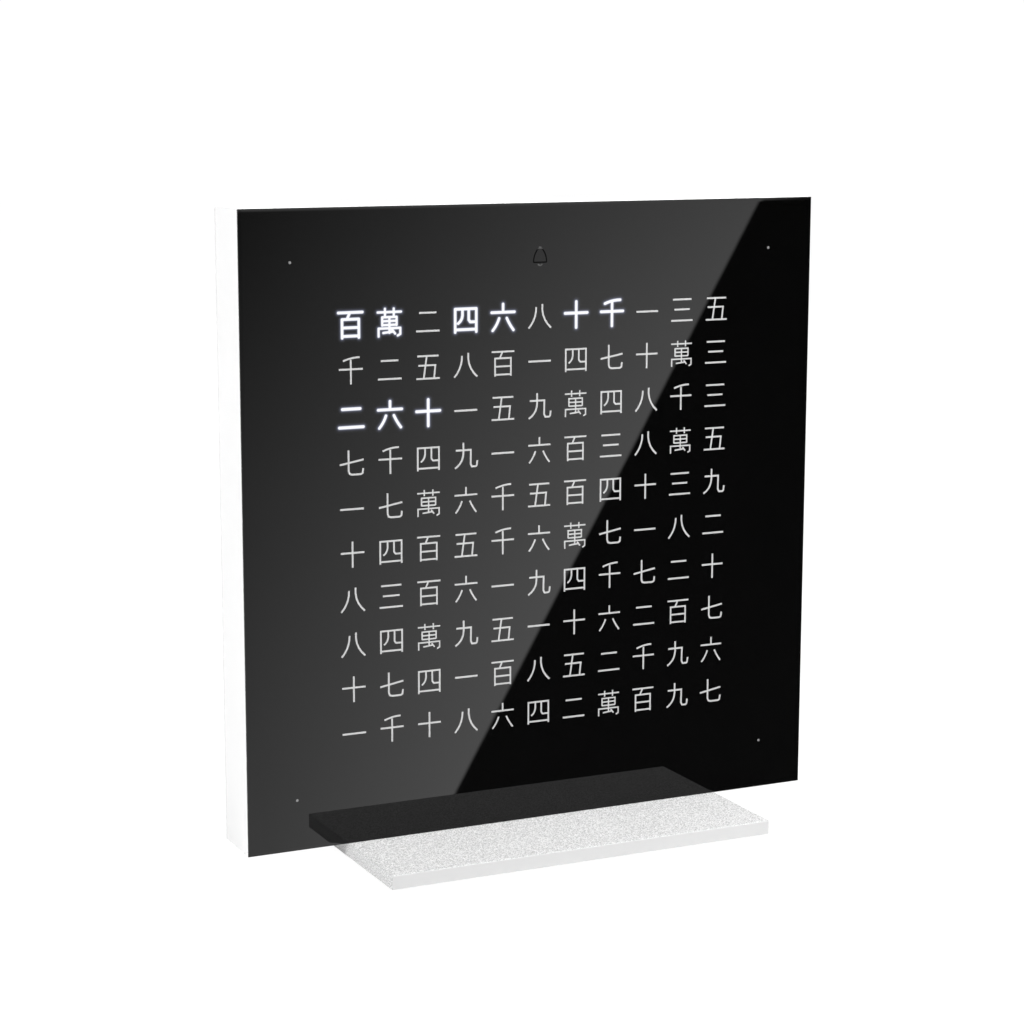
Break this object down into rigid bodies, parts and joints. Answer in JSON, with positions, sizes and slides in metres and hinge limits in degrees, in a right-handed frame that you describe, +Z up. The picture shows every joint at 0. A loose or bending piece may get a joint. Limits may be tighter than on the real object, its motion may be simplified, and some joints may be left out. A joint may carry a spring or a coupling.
{
  "type": "word clock",
  "caption": "Square table word clock: glossy black magnet-held face over a light box of lettered cells, white housing with rear push buttons and power inlet, on a flat base plate.",
  "frame": {"origin": "on the table, under the middle of the base plate", "axes": "+Z up; the face looks along -Y; +X to the right of someone reading the face"},
  "size_m": [0.135, 0.07, 0.1385],
  "materials": {
    "cover_black": "high gloss black enamel",
    "nickel": "bright nickel plate",
    "opal": "opal sheet, satin",
    "black_plastic": "moulded, matte",
    "lamp": "white lamp package",
    "board": "white solder mask",
    "steel": "zinc-plated steel",
    "chip_black": "moulded chip case",
    "can_aluminium": "plain can",
    "foam": "closed-cell foam",
    "brass": "plain brass",
    "white_shell": "smooth white, semi-gloss",
    "button_white": "moulded, satin",
    "plunger_grey": "moulded",
    "base_white": "fine-textured white powder coat",
    "pad_grey": "thin anti-slip sheet"
  },
  "bodies": {
    "clock": {"front_cover": "cover_black", "cover_magnets": "nickel", "diffuser_sheet": "opal", "light_baffle": "black_plastic", "leds": "lamp", "led_board": "board", "board_screws": "steel", "control_chip": "chip_black", "driver_chips": "chip_black", "clock_chip": "chip_black", "quartz_crystal": "can_aluminium", "voltage_regulator": "chip_black", "capacitors": "can_aluminium", "chip_resistors": "chip_black", "cell_holder": "black_plastic", "backup_cell": "nickel", "sounder": "black_plastic", "sounder_gasket": "foam", "power_inlet": "black_plastic", "inlet_pin": "brass", "switch_cases": "black_plastic", "housing": "white_shell", "base_inserts": "brass", "base_plate": "base_white", "base_screws": "steel", "base_pad": "pad_grey"},
    "hour_key": {"hour_button": "button_white", "hour_plunger": "plunger_grey"},
    "minute_key": {"minute_button": "button_white", "minute_plunger": "plunger_grey"},
    "dimmer_key": {"dimmer_button": "button_white", "dimmer_plunger": "plunger_grey"},
    "alarm_key": {"alarm_button": "button_white", "alarm_plunger": "plunger_grey"}
  },
  "joints": [
    {"name": "hour_press", "type": "slide", "parent": "clock", "child": "hour_key", "axis": [0, -1, 0], "range_m": [0, 0.0005], "stiffness_N_per_m": 1000},
    {"name": "minute_press", "type": "slide", "parent": "clock", "child": "minute_key", "axis": [0, -1, 0], "range_m": [0, 0.0005], "stiffness_N_per_m": 1000},
    {"name": "dimmer_press", "type": "slide", "parent": "clock", "child": "dimmer_key", "axis": [0, -1, 0], "range_m": [0, 0.0005], "stiffness_N_per_m": 1000},
    {"name": "alarm_press", "type": "slide", "parent": "clock", "child": "alarm_key", "axis": [0, -1, 0], "range_m": [0, 0.0005], "stiffness_N_per_m": 1000}
  ]
}
